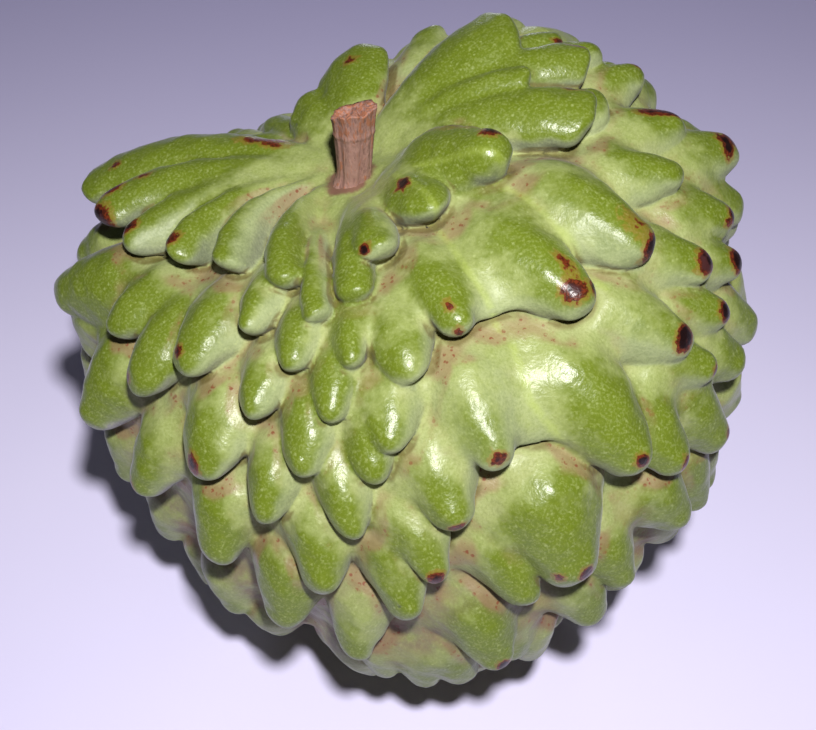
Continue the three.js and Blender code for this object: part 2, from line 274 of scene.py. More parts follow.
def smooth_table(xs, ys):
    """A dense table of the smooth curve through a few points."""
    xs = np.asarray(xs, float)
    ys = np.asarray(ys, float)
    slopes = np.gradient(ys, xs)
    dense = np.linspace(xs[0], xs[-1], 721)
    i = np.clip(np.searchsorted(xs, dense) - 1, 0, len(xs) - 2)
    width = xs[i + 1] - xs[i]
    t = (dense - xs[i]) / width
    curve = (
        (2 * t**3 - 3 * t**2 + 1) * ys[i]
        + (t**3 - 2 * t**2 + t) * width * slopes[i]
        + (-2 * t**3 + 3 * t**2) * ys[i + 1]
        + (t**3 - t**2) * width * slopes[i + 1]
    )
    return dense, curve


PROFILE = smooth_table(BODY_TILTS, BODY_RADII)
SWELLING_AXES = [(direction(turn, tilt), height, spread) for tilt, turn, height, spread in SWELLINGS]


def body_radius(units):
    """From the centre to the body's skin, without scales, in each direction."""
    radius = np.interp(angle_between(units, CORE), *PROFILE)
    for axis, height, spread in SWELLING_AXES:
        radius = radius + height * np.exp(-((angle_between(units, axis) / spread) ** 2))
    return radius


def on_body(unit, height):
    return CENTRE + unit * (body_radius(unit) + height)


# ---- One scale ----
def smoothstep(low, high, x):
    """0 below low, 1 above high, smooth between."""
    t = np.clip((x - low) / (high - low), 0, 1)
    return t * t * (3 - 2 * t)


class Form:
    """One tongue: its width and height at four places along its length, as shares of the scale's.

    end is where it ends, as a share of the scale's length.
    """

    PLACES = [0, 0.3, 0.65, 1]

    def __init__(self, widths, lifts, end=1.0, tip_thickness=2.4, slope=0.0, bluntness=0.95):
        self.widths = smooth_table(self.PLACES, widths)
        self.lifts = smooth_table(self.PLACES, lifts)
        self.end = end
        self.tip_thickness = tip_thickness
        self.slope = slope  # how steeply the flanks fall away from the ridge
        self.bluntness = bluntness  # length of the rounded end, as a share of the half width
        self.widest = self.widths[1].max()

    def distance(self, scale, along, across, height):
        """About how far points lie outside it, from their mm along, across and above the body."""
        length = self.end * scale.length
        share = np.clip(along / length, 0, 1)
        half_width = np.interp(share, *self.widths) * scale.width / 2
        top = np.interp(share, *self.lifts) * scale.lift
        top = top - self.slope * (np.sqrt(across * across + RIDGE_RADIUS**2) - RIDGE_RADIUS)
        thick = ROOT_THICKNESS + (self.tip_thickness - ROOT_THICKNESS) * smoothstep(*THINNING, share)
        cap = self.bluntness * half_width
        beyond = np.maximum(along - (length - cap), 0) + np.minimum(along, 0)
        x = across / half_width
        y = (height - (top - thick)) / thick
        z = beyond / cap
        outside = np.sqrt(x * x + y * y + z * z)
        steepness = np.sqrt((x / half_width) ** 2 + (y / thick) ** 2 + (z / cap) ** 2)
        return outside * (outside - 1) / np.maximum(steepness, 1e-4)


class Cone:
    """A pointed end: a round cone that rises from inside the body to the tip."""

    def __init__(self, start, foot, start_radius, end_radius):
        self.start = start  # where it begins, as a share of the length
        self.foot = foot  # how high it begins, as a share of the lift
        self.start_radius = start_radius  # both radii are shares of the half width
        self.end_radius = end_radius
        self.widest = max(start_radius, end_radius)

    def distance(self, scale, along, across, height):
        radius_0 = self.start_radius * scale.width / 2
        radius_1 = self.end_radius * scale.width / 2
        from_along = self.start * scale.length
        from_height = self.foot * scale.lift
        run = scale.length - radius_1 - from_along
        climb = scale.lift - radius_1 - from_height
        t = ((along - from_along) * run + (height - from_height) * climb) / (run * run + climb * climb)
        t = np.clip(t, 0, 1)
        x = along - from_along - t * run
        y = height - from_height - t * climb
        return np.sqrt(x * x + y * y + across * across) - radius_0 - t * (radius_1 - radius_0)


class Kind:
    """The forms that make a scale, and the fillets at its root and between its forms."""

    def __init__(self, forms, root_blend, inner_blend):
        self.forms = forms
        self.root_blend = root_blend
        self.inner_blend = inner_blend


FINGER_RIDGE = Form([0.7, 0.84, 1, 0.9], [0.1, 0.5, 0.84, 1.04], 1.0, 3.2, slope=0.1, bluntness=0.7)
BLUNT_RIDGE = Form([0.7, 0.84, 1, 0.98], [0.1, 0.5, 0.86, 1.08], 1.0, 3.6, slope=0.08, bluntness=0.42)
FINGER_FLANKS = Form([0.9, 1.1, 1.2, 0.8], [-0.1, 0.2, 0.35, 0.4], 0.95, 1.8, slope=0.35)
DROP_RIDGE = Form([0.8, 0.98, 0.96, 0.6], [-0.2, 0.4, 0.82, 1], slope=0.16)
DROP_FLANKS = Form([1.3, 1.8, 1.6, 0.66], [-0.2, 0.3, 0.58, 0.6], 0.94, 1.8, slope=0.38)
NOSE_FLANKS = Form([1.5, 2.1, 1.6, 0.6], [-0.25, 0.26, 0.52, 0.54], 0.94, 1.8, slope=0.34)
LOBE_FLANKS = Form([1, 1.3, 1.2, 0.66], [0, 0.45, 0.66, 0.64], 0.95, 1.8, slope=0.3)
WEB_SHEET = Form([0.8, 1, 1, 0.8], [-0.1, 0.3, 0.7, 0.85], 1.0, 1.8)
FINGER = Kind([FINGER_RIDGE, FINGER_FLANKS], 1.2, 2.0)
BLUNT = Kind([BLUNT_RIDGE, FINGER_FLANKS], 1.2, 2.0)
DROP = Kind([DROP_RIDGE, DROP_FLANKS], 3.4, 3.0)
NOSE = Kind([Cone(0.5, 0.08, 0.85, 0.5), NOSE_FLANKS], 4.2, 5.0)
LOBE = Kind([Cone(0.48, 0.08, 0.85, 0.48), LOBE_FLANKS], 3.4, 4.0)
WEB = Kind([WEB_SHEET], 1.4, 0.0)


class Scale:
    """A tongue on the body, or two that have grown together."""

    def __init__(self, name, kind, row):
        root_turn, root_tilt, tip_turn, tip_tilt, width, lift, *bow = row
        self.name = name
        self.kind = kind
        self.root = direction(root_turn, root_tilt)
        self.tip = direction(tip_turn, tip_tilt)
        self.tip_tilt = tip_tilt
        self.side = unit_vector(np.cross(self.tip, self.root))
        self.ahead = np.cross(self.root, self.side)
        self.length = math.acos(float(self.root @ self.tip)) * MIDDLE_RADIUS
        self.width = width
        self.lift = lift + EXTRA_LIFT
        self.bow = sum(bow)
        self.tint = None  # set for the whole group
        self.scars = SCARS.get(name, [])

    def centre_line(self, share, across=0.0, height=0.0):
        """A point in space: share of the way from root to tip, mm across, mm above the body."""
        angle = share * self.length / MIDDLE_RADIUS
        lean = (across - self.bow * 4 * share * (1 - share)) / MIDDLE_RADIUS
        unit = (
            self.root * math.cos(angle) * math.cos(lean)
            + self.ahead * math.sin(angle) * math.cos(lean)
            + self.side * math.sin(lean)
        )
        return on_body(unit, height)

    def box(self):
        """The corners of the box round everything that the scale can reach."""
        reach = self.width / 2 * max(form.widest for form in self.kind.forms)
        points = [
            self.centre_line(share, across, height)
            for share in np.linspace(-0.05, 1.02, 8)
            for across in (-reach, reach)
            for height in (-1.5, self.lift)
        ]
        return np.min(points, axis=0) - MARGIN, np.max(points, axis=0) + MARGIN

    def measure(self, units, height):
        """Distance to the scale, and the share of its length, of each point."""
        along = np.arctan2(units @ self.ahead, units @ self.root) * MIDDLE_RADIUS
        share = np.clip(along / self.length, 0, 1)
        across = np.arcsin(np.clip(units @ self.side, -1, 1)) * MIDDLE_RADIUS
        across = across + self.bow * 4 * share * (1 - share)
        distance = None
        for form in self.kind.forms:
            own = form.distance(self, along, across, height)
            if distance is None:
                distance = own
            else:
                distance = smooth_union(distance, own, self.kind.inner_blend)
        return distance, share

    def blend(self, share):
        """How softly it meets what is below it, at each share of its length."""
        return TIP_BLEND + (self.kind.root_blend - TIP_BLEND) * (1 - smoothstep(*CREASED, share))


# Scales that have grown together into broad plates: the lobes of each, and the web between them.
PLATES = [
    {"I": (DROP, (85, 8, 39, 26, 10, 6))},
    {"C": (LOBE, (-128, 11, -78, 42.5, 9.5, 5.6, -3))},
    {"F13": (LOBE, (-72, 40, -86, 61.5, 13, 6.4))},
    {
        "K": (NOSE, (112, 10, 67, 29.5, 14, 8.5)),
        "L": (LOBE, (80, 26, 64, 54, 12.5, 6.6)),
        "KL": (WEB, (66, 12, 58, 40, 14, 2.2)),
    },
    {
        "M1": (LOBE, (33, 20, 25, 44.5, 8, 5)),
        "M2": (LOBE, (52, 22, 48, 52, 11.5, 5.8)),
        "M": (WEB, (42, 18, 36, 45, 16, 2.6)),
    },
    {
        "N1": (LOBE, (24, 42, 21.5, 64, 9, 5.2)),
        "N2": (LOBE, (40, 46, 41.5, 76, 11.5, 6.4)),
        "N": (WEB, (33, 40, 32, 65, 18, 2.8)),
    },
    {"O": (LOBE, (28, 64, 27, 88.5, 16, 7))},
]


def spiral_scales():
    """Scales for the back and the underside, smaller towards the blossom end."""
    covered = direction(COVERED_TURN, COVERED_TILT)
    top = math.cos(math.radians(SPIRAL_FIRST_TILT))
    bottom = math.cos(math.radians(SPIRAL_LAST_TILT))
    made = {}
    for i in range(SPIRAL_SCALES):
        tilt = math.degrees(math.acos(top + (bottom - top) * (i + 0.5) / SPIRAL_SCALES))
        turn = (i * GOLDEN_ANGLE) % 360
        jitter = rng.uniform(-1, 1, 5)
        if math.degrees(math.acos(float(direction(turn, tilt) @ covered))) < COVERED_SPREAD:
            continue
        small = 1 - 0.25 * float(smoothstep(120, 175, tilt))
        row = (
            turn + 4 * jitter[0],
            tilt - SPIRAL_LENGTH * (1 + 0.15 * jitter[1]),
            turn + 4 * jitter[2],
            tilt,
            SPIRAL_WIDTH * small * (1 + 0.12 * jitter[3]),
            SPIRAL_LIFT * small * (1 + 0.12 * jitter[4]) - (3 if i in SPIRAL_FLAT else 0),
        )
        made[f"B{i}"] = row
    return made


def all_groups():
    """Lists of scales, each list grown together, in the order they are laid on: lowest tips first."""
    groups = []
    for name, row in FINGERS.items():
        groups.append([Scale(name, BLUNT if name in SQUARE_ENDED else FINGER, row)])
    for kind, rows in ((DROP, DROPS), (NOSE, NOSES), (NOSE, spiral_scales())):
        groups += [[Scale(name, kind, row)] for name, row in rows.items()]
    groups += [[Scale(name, kind, row) for name, (kind, row) in plate.items()] for plate in PLATES]
    groups.sort(key=lambda group: -max(scale.tip_tilt for scale in group))
    for group in groups:
        tint = rng.uniform(*TINTS)
        for scale in group:
            scale.tint = tint + sum(shift for shift, names in TINT_SHIFTS if scale.name in names)
    return groups


# ---- The distance field ----
def smooth_union(a, b, blend):
    """The nearer of two surfaces, with a fillet where they meet."""
    near = np.maximum(blend - np.abs(a - b), 0) / blend
    return np.minimum(a, b) - near * near * blend / 4


class Field:
    """Distances to the skin on a grid of points VOXEL apart."""

    def __init__(self):
        low = np.array(LOW) / MM - GRID_MARGIN
        high = np.array(HIGH) / MM + GRID_MARGIN
        self.start = low
        self.count = np.ceil((high - low) / VOXEL).astype(int)
        self.axes = [low[i] + VOXEL * np.arange(self.count[i]) for i in range(3)]
        self.height = np.full(self.count, FAR, np.float32)
        self.fill_height()
        self.distance = self.height.copy()

    def units(self, slices):
        """Directions and distances from the centre to the grid points of a block."""
        x, y, z = (self.axes[i][slices[i]] - CENTRE[i] for i in range(3))
        offsets = np.stack(np.meshgrid(x, y, z, indexing="ij"), axis=-1).astype(np.float32)
        lengths = np.maximum(np.linalg.norm(offsets, axis=-1), 1)
        return offsets / lengths[..., None], lengths

    def fill_height(self):
        """Height above the body, worked out slab by slab."""
        for first in range(0, self.count[2], SLAB):
            slices = (slice(None), slice(None), slice(first, first + SLAB))
            units, lengths = self.units(slices)
            shell = np.abs(lengths - MIDDLE_RADIUS) < SHELL
            slab = np.where(lengths < MIDDLE_RADIUS, -FAR, FAR).astype(np.float32)
            slab[shell] = lengths[shell] - body_radius(units[shell])
            self.height[slices] = slab

    def block(self, low, high):
        """The slices of the grid that cover a box."""
        first = np.maximum(np.floor((low - self.start) / VOXEL).astype(int), 0)
        last = np.minimum(np.ceil((high - self.start) / VOXEL).astype(int) + 1, self.count)
        return tuple(slice(first[i], max(last[i], first[i] + 1)) for i in range(3))

    def add(self, group):
        """Lays a group of scales on what is there. Scales of one group blend softly with each other."""
        corners = [scale.box() for scale in group]
        slices = self.block(
            np.min([low for low, high in corners], axis=0), np.max([high for low, high in corners], axis=0)
        )
        units, _ = self.units(slices)
        height = self.height[slices]
        distance = None
        blend = None
        for scale in group:
            own, share = scale.measure(units, height)
            if distance is None:
                distance = own
                blend = scale.blend(share)
            else:
                nearer = own < distance
                blend = np.where(nearer, scale.blend(share), blend)
                distance = smooth_union(distance, own, GROWN_TOGETHER)
        self.distance[slices] = smooth_union(self.distance[slices], distance, blend)

    def ripple(self):
        """Slow, shallow unevenness all over."""
        x, y, z = (axis.astype(np.float32) for axis in self.axes)
        x = x[:, None, None]
        y = y[None, :, None]
        z = z[None, None, :]
        waves = np.sin(0.9 * x + 0.5 * z + 1.0) * np.sin(0.8 * y - 0.6 * z) * np.sin(0.7 * z + 0.5 * y)
        self.distance += RIPPLE * waves

    def sample(self, points):
        """Distances at points, between the grid points."""
        where = (points - self.start) / VOXEL
        first = np.clip(np.floor(where).astype(int), 0, self.count - 2)
        t = np.clip(where - first, 0, 1)
        total = np.zeros(len(points))
        for corner in np.ndindex(2, 2, 2):
            corner = np.array(corner)
            weight = np.prod(np.where(corner, t, 1 - t), axis=1)
            at = first + corner
            total += weight * self.distance[at[:, 0], at[:, 1], at[:, 2]]
        return total

    def surface(self):
        """The skin's points and four-sided faces."""
        grid = openvdb.FloatGrid(BAND)
        grid.copyFromArray(np.clip(self.distance, -BAND, BAND).astype(np.float32))
        points, _, quads = grid.convertToPolygons(isovalue=0.0, adaptivity=0.0)
        return points * VOXEL + self.start, quads

    def drop_loose_bits(self):
        """Leaves out whatever isn't joined to the body, starting from well inside it."""
        solid = self.distance < 0
        joined = self.height < -4
        while True:
            grown = joined.copy()
            for axis in range(3):
                for shift in (1, -1):
                    grown |= np.roll(joined, shift, axis)
            grown &= solid
            if grown.sum() == joined.sum():
                break
            joined = grown
        self.distance[solid & ~joined] = 0.5


def build_field(groups):
    """The whole fruit. The spot that it rests on is flat."""
    field = Field()
    for group in groups:
        field.add(group)
    field.ripple()
    field.drop_loose_bits()
    floor = -(field.axes[2].astype(np.float32))[None, None, :]
    field.distance = np.maximum(field.distance, np.broadcast_to(floor, field.distance.shape))
    return field


# ---- Meshes ----
def put(name, data):
    """A new object in the scene."""
    piece = bpy.data.objects.new(name, data)
    bpy.context.scene.collection.objects.link(piece)
    return piece


def mesh_object(name, points, faces):
    mesh = bpy.data.meshes.new(name)
    mesh.from_pydata(points, [], faces)
    mesh.update()
    return put(name, mesh)


def quick_mesh(name, points, quads):
    """A mesh of four-sided faces, made from arrays."""
    mesh = bpy.data.meshes.new(name)
    mesh.vertices.add(len(points))
    mesh.vertices.foreach_set("co", np.asarray(points, np.float32).ravel())
    mesh.loops.add(4 * len(quads))
    mesh.loops.foreach_set("vertex_index", np.asarray(quads, np.int32).ravel())
    mesh.polygons.add(len(quads))
    mesh.polygons.foreach_set("loop_start", 4 * np.arange(len(quads), dtype=np.int32))
    mesh.update(calc_edges=True)
    mesh.validate()
    return put(name, mesh)


def thin_out(piece, most):
    """Fewer faces where the surface is smooth: at most this many triangles."""
    count = sum(len(face.vertices) - 2 for face in piece.data.polygons)
    modifier = piece.modifiers.new("thin_out", "DECIMATE")
    modifier.ratio = min(most / count, 1)
    graph = bpy.context.evaluated_depsgraph_get()
    final = bpy.data.meshes.new_from_object(piece.evaluated_get(graph))
    piece.modifiers.clear()
    old = piece.data
    piece.data = final
    bpy.data.meshes.remove(old)


def settle(piece, field):
    """Moves each vertex of a thinned mesh back on the surface of the field."""
    mesh = piece.data
    points = per_vertex(mesh, "co") / MM
    for _ in range(2):
        slope = np.zeros_like(points)
        for axis in range(3):
            offset = VOXEL * np.eye(3)[axis]
            slope[:, axis] = field.sample(points + offset) - field.sample(points - offset)
        size = np.maximum(np.linalg.norm(slope, axis=1), 1e-3)
        away = np.clip(field.sample(points) / size * 2 * VOXEL, -1, 1)
        points = points - away[:, None] * slope / size[:, None]
    mesh.vertices.foreach_set("co", (points * MM).astype(np.float32).ravel())
    mesh.update()


def per_vertex(mesh, name):
    """The "co" or the "normal" of every vertex."""
    flat = np.zeros(3 * len(mesh.vertices), np.float32)
    mesh.vertices.foreach_get(name, flat)
    return flat.reshape(-1, 3).astype(float)


def store(mesh, name, values):
    """Keeps one number for each vertex under a name."""
    attribute = mesh.attributes.new(name, "FLOAT", "POINT")
    attribute.data.foreach_set("value", np.asarray(values, np.float32))


def scar_marks(points, owner, scales):
    """How scarred the skin is at each point: 0 clean, 1 burnt black. owner is each point's scale."""
    marks = np.zeros(len(points))
    for index, scale in enumerate(scales):
        own = np.nonzero(owner == index)[0]
        if len(own) == 0:
            continue
        for share, across, half_length, half_width, depth in scale.scars:
            # The scar's middle is the vertex nearest to its place on the ridge, which drops at the tip.
            top = float(scale.lift * (1 - 0.35 * smoothstep(0.93, 1, share)))
            aim = scale.centre_line(share, across * scale.width / 2, top)
            middle = points[own[np.argmin(np.sum((points[own] - aim) ** 2, axis=1))]]
            ahead = unit_vector(scale.centre_line(share + 0.01) - scale.centre_line(share - 0.01))
            offsets = points[own] - middle
            out = np.cross(ahead, scale.side)
            a = offsets @ ahead / half_length
            b = offsets @ scale.side / half_width
            c = offsets @ out / max(half_length, half_width)
            mark = depth * np.clip(1.4 - np.sqrt(a * a + b * b + c * c), 0, 1)
            marks[own] = np.maximum(marks[own], mark)
    return marks


def seam_distance(units):
    """Millimetres from each direction to the nearest seam, 3 at most."""
    nearest = np.full(len(units), 3.0)
    for seam in SEAMS:
        ends = [direction(turn, tilt) for turn, tilt in seam]
        for start, end in zip(ends, ends[1:]):
            step = end - start
            t = np.clip((units - start) @ step / (step @ step), 0, 1)
            gap = np.linalg.norm(units - start - t[:, None] * step, axis=1) * MIDDLE_RADIUS
            nearest = np.minimum(nearest, gap)
    return nearest


def merge_scales(units, height, scales):
    """At each point: the share of the length, the tint, and the number of the nearest scale.

    Where scales merge, the shares and tints of both are mixed by how near they are.
    """
    nearest = np.full(len(units), OWN_REACH)
    owner = np.full(len(units), -1)
    weights = np.exp(-height / MERGE_WIDTH)
    along = np.zeros(len(units))
    tint = 0.5 * weights
    for index, scale in enumerate(scales):
        reach = scale.length / 2 + scale.width / 2 + 2
        middle = unit_vector(scale.root + scale.tip)
        near = np.nonzero(units @ middle > math.cos(reach / MIDDLE_RADIUS))[0]
        own, share = scale.measure(units[near], height[near])
        weight = np.exp(-own / MERGE_WIDTH)
        weights[near] += weight
        along[near] += weight * share
        tint[near] += weight * scale.tint
        closer = own < nearest[near]
        at = near[closer]
        nearest[at] = own[closer]
        owner[at] = index
    return along / weights, tint / weights, owner


def describe_skin(piece, field, groups):
    """Keeps on each vertex where it lies on its scale, for the skin's material.

    along is the share of the scale's length, rise the height above the body, facing how squarely the skin
    faces outwards, lee how far it faces LEE, and open_near and open_far fall below 1 in creases.
    """
    mesh = piece.data
    points = per_vertex(mesh, "co") / MM
    outward = per_vertex(mesh, "normal")
    offsets = points - CENTRE
    lengths = np.linalg.norm(offsets, axis=1)
    units = offsets / lengths[:, None]
    height = lengths - body_radius(units)
    scales = [scale for group in groups for scale in group]
    along, tint, owner = merge_scales(units, height, scales)
    facing = np.sum(outward * units, axis=1)
    store(mesh, "along", along)
    store(mesh, "rise", height)
    store(mesh, "tint", tint)
    store(mesh, "facing", facing)
    store(mesh, "lee", (outward - units * facing[:, None]) @ LEE)
    store(mesh, "scar", scar_marks(points, owner, scales))
    store(mesh, "seam", seam_distance(units))
    store(mesh, "stalk_gap", np.linalg.norm(np.cross(points - on_body(CORE, 0), CORE), axis=1))
    for name, reach in OPENNESS.items():
        store(mesh, name, field.sample(points + reach * outward) / reach)


def make_fruit():
    groups = all_groups()
    field = build_field(groups)
    points, quads = field.surface()
    fruit = quick_mesh("atemoya_skin", points * MM, quads)
    thin_out(fruit, TRIANGLES)
    settle(fruit, field)
    fruit.data.shade_smooth()
    describe_skin(fruit, field, groups)
    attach(fruit, "root")
    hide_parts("fruit")
    return fruit


# ---- The stalk ----
STALK_RINGS = 70
STALK_AROUND = 96
TORN_RINGS = [0.12, 0.3, 0.5, 0.7, 0.88]  # how far in from the rim the rings of the torn end lie
TORN_DEPTH = 0.7
TORN_FROM = 0.6  # the share of the height above which the torn rim pulls the fibres down
STALK_GAP = 0.15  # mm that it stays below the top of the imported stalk
STALK_SLANT = 0.02  # mm sideways for each mm up
FRAY = 1.4  # how ragged the torn end is
FULL_GROOVE = 0.3  # a groove this deep counts as 1 for the bark
STALK_WIDTHS = (
    [0, 0.2, 0.35, 0.55, 0.7, 0.74, 0.79, 0.92, 1],
    [2.45, 2.5, 2.7, 2.9, 3.05, 3.22, 3.15, 3.3, 3.5],
)
# Where the foot bulges: turn, spread of the turn, share of the height, spread of the share, mm.
COLLAR = (200, 60, 0.1, 0.12, 1.1)
# Grooves: count, depth, start.
STALK_GROOVES = [(5, 0.09, 0.3), (11, 0.05, 1.9), (17, 0.04, 4.0), (37, 0.03, 2.4)]
# Dips of the torn rim: turn, drop, spread.
STALK_RIM = [(110, 3.0, 80), (190, 1.6, 45), (20, 0.4, 12), (-62, 0.6, 12), (-110, 0.4, 9)]


def turn_between(turn, other):
    """Degrees from one turn to another, the short way round."""
    return (turn - other + 180) % 360 - 180


def stalk_point(turn, share, inward):
    """A point of the stalk, and how deep in a groove it lies."""
    middle = (STALK_LOW + STALK_HIGH) / 2
    foot = np.array([middle.x, middle.y, STALK_LOW.z]) / MM
    tall = (STALK_HIGH.z - STALK_LOW.z) / MM - STALK_GAP
    a = math.radians(turn)
    groove = 0.0
    for count, depth, start in STALK_GROOVES:
        groove -= depth * (1 + math.sin(count * a + start + 0.5 * math.sin(4 * share + start)))
    rim = tall
    for dip_turn, drop, spread in STALK_RIM:
        rim -= drop * math.exp(-((turn_between(turn, dip_turn) / spread) ** 2))
    radius = float(np.interp(share, *STALK_WIDTHS)) + groove
    rise = share * tall
    if share > TORN_FROM:
        start = TORN_FROM * tall
        rise = start + (share - TORN_FROM) / (1 - TORN_FROM) * (rim - start)
    collar_turn, turn_spread, collar_share, share_spread, bulge = COLLAR
    around = turn_between(turn, collar_turn) / turn_spread
    upward = (share - collar_share) / share_spread
    radius += bulge * math.exp(-(around**2) - upward**2)
    radius *= 1 - inward
    fray = FRAY * math.sin(5 * a + 9 * inward) * math.sin(13 * a) * inward * (1 - inward)
    rise -= TORN_DEPTH * math.sin(inward * math.pi / 2) + fray
    lean = STALK_SLANT * rise
    return foot + [radius * math.cos(a) + lean, radius * math.sin(a), rise], groove


def make_stalk():
    points = []
    grooves = []
    heights = []
    shares = list(np.linspace(0, 1, STALK_RINGS))
    shares += [1.0] * len(TORN_RINGS)
    inwards = [0.0] * STALK_RINGS + TORN_RINGS
    for share, inward in zip(shares, inwards):
        for i in range(STALK_AROUND):
            point, groove = stalk_point(360 * i / STALK_AROUND, share, inward)
            points.append(point * MM)
            grooves.append(groove / FULL_GROOVE)
            heights.append(share)
    faces = []
    for ring in range(len(shares) - 1):
        for i in range(STALK_AROUND):
            a = ring * STALK_AROUND + i
            b = ring * STALK_AROUND + (i + 1) % STALK_AROUND
            faces.append((a, b, b + STALK_AROUND, a + STALK_AROUND))
    faces.append(tuple(reversed(range(STALK_AROUND))))
    top = len(points) - STALK_AROUND
    faces.append(tuple(range(top, top + STALK_AROUND)))
    stalk = mesh_object("stalk_stub", points, faces)
    stalk.data.shade_smooth()
    store(stalk.data, "groove_depth", grooves)
    store(stalk.data, "height", heights)
    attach(stalk, "root")
    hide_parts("stalk")
    return stalk


# ---- Materials ----
LEFT_SIDE_SHADE = (-18, -50)  # x where the left side begins, and where it is whole; there the skin is deeper green with less bloom, partly as painted shade
LOW_PART = (66, 34)  # the same for the height of the lower part
SHEEN_LIP_PART = (84, 56)  # and for the height of the scales with lilac grey lips: their bloom, with a painted sheen
PAPER_SHADE_SPAN = (0, 240)  # and for the y over which the paper is painted darker towards the back, as painted shade where less light reaches
BARK_FOOT = (5.9, 4.5)  # mm from the stalk's axis over which the skin turns to bark


class Nodes:
    """A material's nodes, and its base colour, which is painted layer by layer."""

    def __init__(self, name):
        self.material = bpy.data.materials.new(name)
        self.material.use_nodes = True
        self.tree = self.material.node_tree
        self.shader = self.tree.nodes["Principled BSDF"]
        self.place = self.add("ShaderNodeTexCoord").outputs["Object"]
        self.base = None

    def link(self, source, target):
        self.tree.links.new(source, target)

    def add(self, kind, **settings):
        node = self.tree.nodes.new(kind)
        for key, value in settings.items():
            setattr(node, key, value)
        return node

    def feed(self, node, key, value):
        """Links another node's output to an input, or sets the input to a plain value."""
        if hasattr(value, "is_output"):
            self.link(value, node.inputs[key])
        else:
            node.inputs[key].default_value = value

    def attribute(self, name):
        return self.add("ShaderNodeAttribute", attribute_name=name).outputs["Fac"]

    def math(self, operation, a, b):
        node = self.add("ShaderNodeMath", operation=operation)
        self.feed(node, 0, a)
        self.feed(node, 1, b)
        return node.outputs[0]

    def plus(self, a, b):
        return self.math("ADD", a, b)

    def times(self, a, b):
        return self.math("MULTIPLY", a, b)

    def weighed(self, start, *terms):
        """start plus each (value, middle, weight) as weight * (value - middle)."""
        total = start
        for value, middle, weight in terms:
            total = self.plus(total, self.times(self.math("SUBTRACT", value, middle), weight))
        return total

    def step(self, value, low, high):
        """0 on the side of low, 1 on the side of high, smooth between. low may be the greater one."""
        node = self.add("ShaderNodeMapRange", interpolation_type="SMOOTHSTEP")
        self.feed(node, 0, value)
        self.feed(node, 1, low)
        self.feed(node, 2, high)
        return node.outputs[0]

    def step_along(self, axis, span):
        """A step over a span of millimetres along X, Y or Z."""
        node = self.add("ShaderNodeSeparateXYZ")
        self.link(self.place, node.inputs[0])
        return self.step(node.outputs[axis], span[0] * MM, span[1] * MM)

    def texture(self, kind, size_mm, vector=None):
        node = self.add(kind)
        self.link(vector or self.place, node.inputs["Vector"])
        node.inputs["Scale"].default_value = 1 / (size_mm * MM)
        return node

    def noise(self, size_mm, detail=2.0, rough=0.5, vector=None):
        node = self.texture("ShaderNodeTexNoise", size_mm, vector)
        node.inputs["Detail"].default_value = detail
        node.inputs["Roughness"].default_value = rough
        return node.outputs["Fac"]

    def cells(self, size_mm):
        """Distance to the nearest of points scattered about size_mm apart."""
        return self.texture("ShaderNodeTexVoronoi", size_mm).outputs["Distance"]

    def bump(self, height, strength, distance_mm, normal=None):
        node = self.add("ShaderNodeBump")
        node.inputs["Strength"].default_value = strength
        node.inputs["Distance"].default_value = distance_mm * MM
        self.link(height, node.inputs["Height"])
        if normal:
            self.link(normal, node.inputs["Normal"])
        return node.outputs["Normal"]

    def mix(self, factor, a, b):
        """Colour a where factor is 0 and colour b where it is 1."""
        node = self.add("ShaderNodeMix", data_type="RGBA")
        self.feed(node, 0, factor)
        self.feed(node, 6, a)
        self.feed(node, 7, b)
        return node.outputs[2]

    def paint(self, where, tone, amount=1.0):
        """Lays a tone over the base colour, amount strong where `where` is 1."""
        self.base = self.mix(self.times(where, amount), self.base, tone)

    def finish(self, values):
        """The material, once its shader has the base colour and the values by input name."""
        self.link(self.base, self.shader.inputs["Base Color"])
        for key, value in values.items():
            self.feed(self.shader, key, value)
        return self.material


def rgb(red, green, blue):
    """A colour picked as 0 to 255 on a screen, as the shader wants it."""
    return tuple((v / 255) ** 2.2 for v in (red, green, blue)) + (1.0,)


class Skin(Nodes):
    """The fruit's skin, from what describe_skin has kept on the vertices."""

    def __init__(self):
        super().__init__("atemoya_skin")
        for name in ("along", "rise", "tint", "facing", "lee", "open_near", "open_far", "scar"):
            setattr(self, name, self.attribute(name))
        self.blotch = self.noise(7.0)
        self.cloud = self.noise(2.2, 3.0, 0.6)
        self.mottle = self.noise(0.8, 3.0, 0.6)
        self.grain = self.noise(0.4, 2.0, 0.6)
        self.left = self.step_along("X", LEFT_SIDE_SHADE)
        self.under = self.step_along("Z", LOW_PART)
        self.green = find_green(self)
        self.bloom = find_bloom(self)


def find_green(n):
    """Where the bloom is rubbed off: on the raised end of each scale. On the left side the green is
    deeper, partly as painted shade.
    """
    rubbed = n.weighed(0.02, (n.along, 0.5, 1.0), (n.rise, 4.5, 0.13), (n.lee, 0.0, -0.45))
    rubbed = n.weighed(rubbed, (n.blotch, 0.5, 1.4), (n.cloud, 0.5, 1.0), (n.mottle, 0.5, 0.6))
    rubbed = n.weighed(rubbed, (n.tint, 0.5, 0.75), (n.left, 0.0, 0.35))
    return n.step(rubbed, -0.15, 0.45)


def find_bloom(n):
    """Where grey bloom is left: on the flanks and undersides. There is less of it on the left side, partly
    as painted shade.
    """
    bloom = n.weighed(0.88, (n.lee, 0.0, 0.7), (n.facing, 0.0, -1.0), (n.cloud, 0.5, 0.5))
    bloom = n.weighed(bloom, (n.left, 0.0, -0.2), (n.tint, 0.5, -1.0))
    return n.step(bloom, 0.1, 0.8)


def paint_ground(n):
    """Pale yellow-green, paler in the valleys and duller below."""
    n.base = n.mix(n.cloud, rgb(124, 136, 70), rgb(144, 152, 100))
    n.paint(n.step(n.open_far, 0.9, 0.4), rgb(142, 149, 96))
    n.paint(n.under, rgb(112, 118, 80), 0.4)


